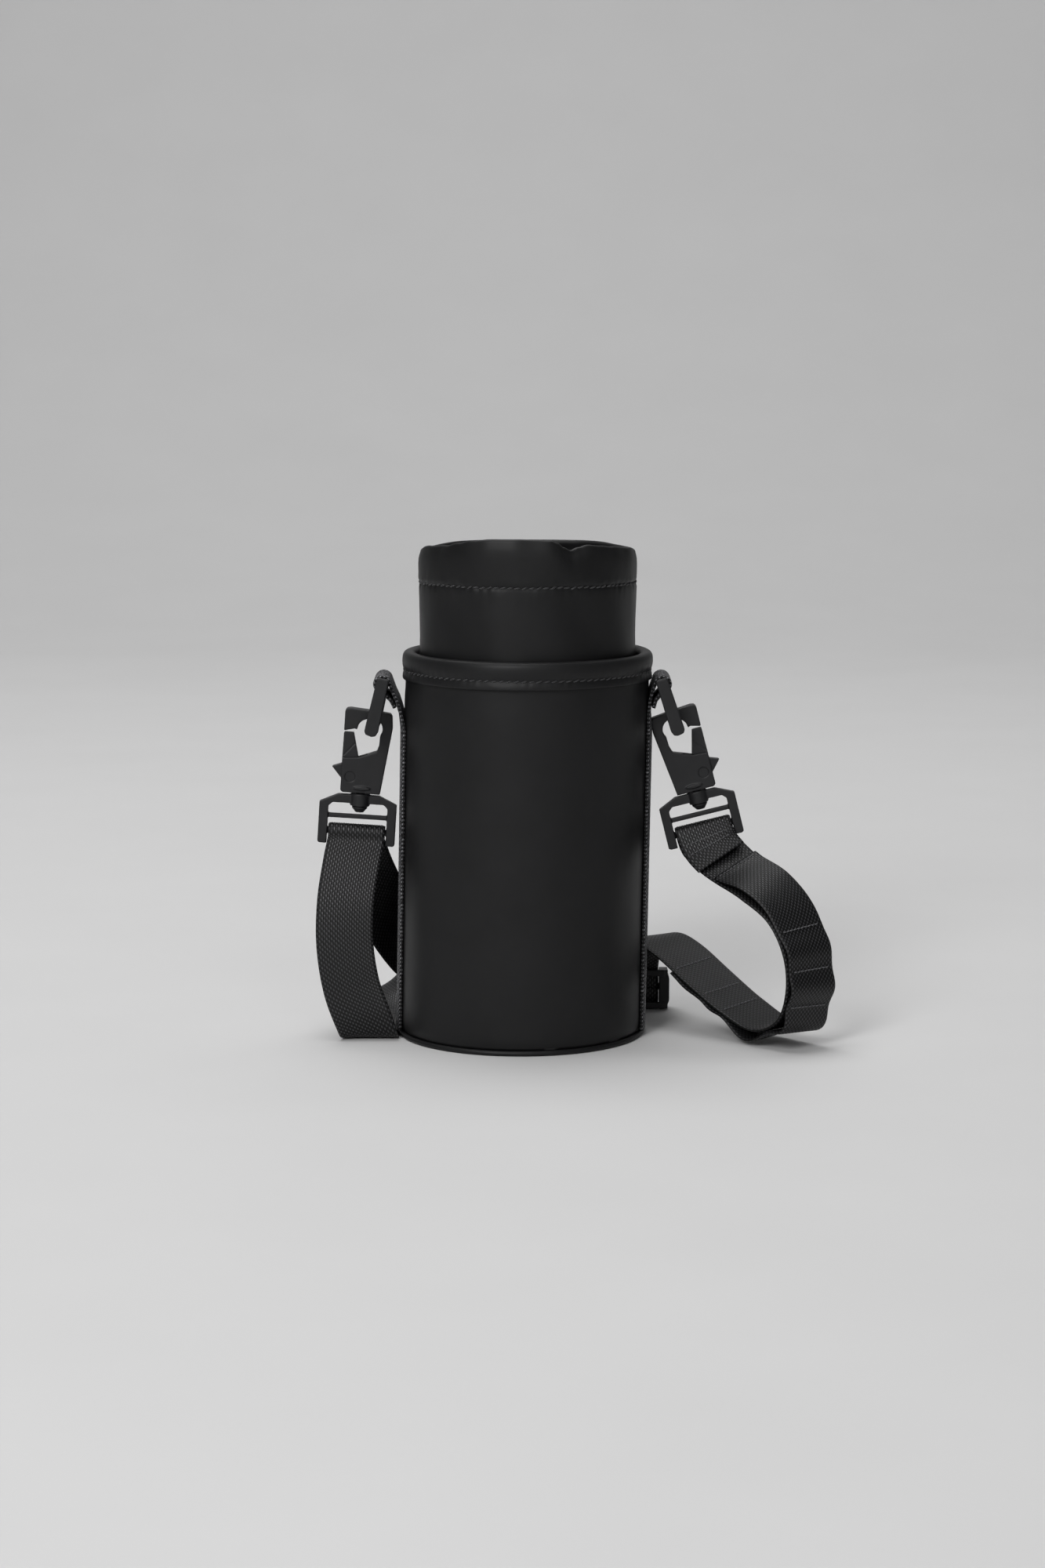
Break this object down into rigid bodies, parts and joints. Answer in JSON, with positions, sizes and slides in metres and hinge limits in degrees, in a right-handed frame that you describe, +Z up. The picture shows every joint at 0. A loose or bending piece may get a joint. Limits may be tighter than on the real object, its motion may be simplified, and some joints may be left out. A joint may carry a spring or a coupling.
{
  "type": "bottle bag",
  "caption": "Padded cylindrical bottle bag with a drawstring collar, side rings, swivel snap hooks and an adjustable webbing shoulder strap.",
  "frame": {"origin": "centre of the base on the surface that the bag stands on", "axes": "+Z up along the bottle, -Y towards the front, +X to the right seen from the front"},
  "size_m": [0.2263, 0.156, 0.218],
  "materials": {
    "coated_fabric": "matte rubberised",
    "collar_fabric": "matte rubberised",
    "side_webbing": "woven, light flecks",
    "strap_webbing": "ribbed weave",
    "cord": "braided",
    "plastic": "fine matt",
    "lining": "plain weave",
    "foam": "closed-cell foam",
    "board": "plain",
    "steel": "plain"
  },
  "bodies": {
    "bag": {"front_panel": "coated_fabric", "back_panel": "coated_fabric", "base_panel": "coated_fabric", "base_welt": "coated_fabric", "base_stiffener": "board", "rim_facing": "coated_fabric", "foam_sleeve": "foam", "foam_base": "foam", "lining_sleeve": "lining", "lining_base": "lining", "drawstring_collar": "collar_fabric", "drawcord": "cord", "cord_eyelets": "steel", "side_webbing_left": "side_webbing", "side_webbing_right": "side_webbing", "strap_right": "strap_webbing", "strap_overlay": "strap_webbing", "strap_back": "strap_webbing", "strap_left": "strap_webbing", "strap_return": "strap_webbing"},
    "ring_left": {"ring_left": "plastic"},
    "frame_left": {"strap_frame_left": "plastic"},
    "hook_left": {"hook_body_left": "plastic", "gate_pin_left": "plastic", "gate_spring_left": "steel", "swivel_stud_left": "plastic"},
    "gate_left": {"gate_left": "plastic"},
    "ring_right": {"ring_right": "plastic"},
    "frame_right": {"strap_frame_right": "plastic"},
    "hook_right": {"hook_body_right": "plastic", "gate_pin_right": "plastic", "gate_spring_right": "steel", "swivel_stud_right": "plastic"},
    "gate_right": {"gate_right": "plastic"},
    "slider": {"strap_slider": "plastic", "strap_end_loop": "strap_webbing"},
    "cord_lock": {"cord_lock_body": "plastic", "cord_lock_spring": "steel"},
    "plunger": {"cord_lock_plunger": "plastic"}
  },
  "joints": [
    {"name": "ring_left_swing", "type": "hinge", "parent": "bag", "child": "ring_left", "pos_m": [-0.061, 0, 0.156], "axis": [0, 1, 0], "range_deg": [-1, 6]},
    {"name": "frame_left_tilt", "type": "hinge", "parent": "bag", "child": "frame_left", "pos_m": [-0.07303, 0, 0.08958], "axis": [0.9979, 0, -0.0645], "range_deg": [-3, 3]},
    {"name": "hook_left_swivel", "type": "hinge", "parent": "frame_left", "child": "hook_left", "pos_m": [-0.0712, 0, 0.107], "axis": [0.0645, 0, 0.9979], "range_deg": [-10, 10]},
    {"name": "gate_left_open", "type": "hinge", "parent": "hook_left", "child": "gate_left", "pos_m": [-0.07564, 0, 0.1143], "axis": [0, 1, 0], "range_deg": [0, 22], "stiffness_Nm_per_rad": 0.02, "springref_deg": -17.19, "deforming": ["gate_spring_left"]},
    {"name": "ring_right_swing", "type": "hinge", "parent": "bag", "child": "ring_right", "pos_m": [0.061, 0, 0.156], "axis": [0, 1, 0], "range_deg": [-1, 4]},
    {"name": "frame_right_tilt", "type": "hinge", "parent": "bag", "child": "frame_right", "pos_m": [0.07966, 0, 0.091], "axis": [0.9703, 0, 0.2419], "range_deg": [-3, 3]},
    {"name": "hook_right_swivel", "type": "hinge", "parent": "frame_right", "child": "hook_right", "pos_m": [0.0763, 0, 0.1082], "axis": [-0.2419, 0, 0.9703], "range_deg": [-10, 10]},
    {"name": "gate_right_open", "type": "hinge", "parent": "hook_right", "child": "gate_right", "pos_m": [0.07936, 0, 0.11618], "axis": [0, -1, 0], "range_deg": [0, 22], "stiffness_Nm_per_rad": 0.02, "springref_deg": -17.19, "deforming": ["gate_spring_right"]},
    {"name": "slider_slide", "type": "slide", "parent": "bag", "child": "slider", "axis": [0, 0, 1], "range_m": [0, 0.004]},
    {"name": "cord_lock_slide", "type": "slide", "parent": "bag", "child": "cord_lock", "axis": [0, 0, 1], "range_m": [-0.006, 0]},
    {"name": "plunger_press", "type": "slide", "parent": "cord_lock", "child": "plunger", "axis": [-1, 0, 0], "range_m": [0, 0.0024], "stiffness_N_per_m": 300, "springref_m": -0.002, "deforming": ["cord_lock_spring"]}
  ]
}
